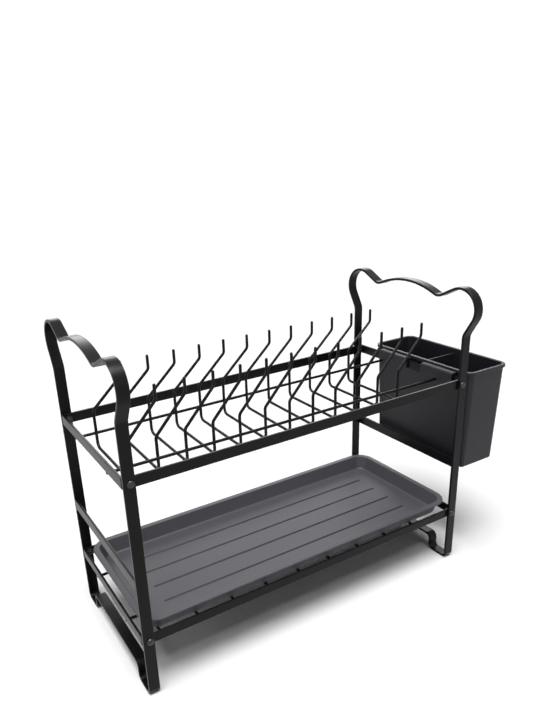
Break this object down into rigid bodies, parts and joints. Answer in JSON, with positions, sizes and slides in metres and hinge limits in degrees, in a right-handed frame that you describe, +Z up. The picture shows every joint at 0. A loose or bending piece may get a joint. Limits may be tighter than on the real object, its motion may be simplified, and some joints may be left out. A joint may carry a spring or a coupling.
{
  "type": "dish drying rack",
  "caption": "Two-tier dish drying rack of bent flat-steel side frames and coated wire, with a lift-out drip tray and a cutlery cup hooked over the side rail.",
  "frame": {"origin": "on the surface that the rack stands on, under the middle of the covered floor area, cup included", "axes": "+X along the rack to its right end, where the cutlery cup hangs; +Y from the front to the rear; +Z up"},
  "size_m": [0.49, 0.214, 0.347],
  "materials": {
    "strip_coating": "black satin powder coat on flat steel strip",
    "wire_coating": "black satin powder coat on round steel wire",
    "tray_plastic": "matt warm grey moulded plastic",
    "cup_plastic": "semi-matt charcoal moulded plastic",
    "black_hardware": "black coated steel screws and nuts"
  },
  "bodies": {
    "rack": {"left_side_frame": "strip_coating", "right_side_frame": "strip_coating", "left_crossbar": "strip_coating", "right_crossbar": "strip_coating", "upper_shelf_rim": "strip_coating", "upper_front_rod": "wire_coating", "upper_rear_rod": "wire_coating", "plate_wire_01": "wire_coating", "plate_wire_02": "wire_coating", "plate_wire_03": "wire_coating", "plate_wire_04": "wire_coating", "plate_wire_05": "wire_coating", "plate_wire_06": "wire_coating", "plate_wire_07": "wire_coating", "plate_wire_08": "wire_coating", "plate_wire_09": "wire_coating", "plate_wire_10": "wire_coating", "plate_wire_11": "wire_coating", "plate_wire_12": "wire_coating", "lower_shelf_rim": "strip_coating", "lower_front_rod": "wire_coating", "lower_rear_rod": "wire_coating", "tray_wire_01": "wire_coating", "tray_wire_02": "wire_coating", "tray_wire_03": "wire_coating", "tray_wire_04": "wire_coating", "tray_wire_05": "wire_coating", "tray_wire_06": "wire_coating", "tray_wire_07": "wire_coating", "tray_wire_08": "wire_coating", "tray_wire_09": "wire_coating", "upper_shelf_screws": "black_hardware", "upper_shelf_nuts": "black_hardware", "lower_shelf_screws": "black_hardware", "lower_shelf_nuts": "black_hardware"},
    "drip_tray": {"drip_tray": "tray_plastic"},
    "cutlery_cup": {"cutlery_cup": "cup_plastic"}
  },
  "joints": [
    {"name": "drip_tray_lift", "type": "slide", "parent": "rack", "child": "drip_tray", "axis": [0, 0, 1], "range_m": [0, 0.04]},
    {"name": "cutlery_cup_lift", "type": "slide", "parent": "rack", "child": "cutlery_cup", "axis": [0, 0, 1], "range_m": [0, 0.04]}
  ]
}
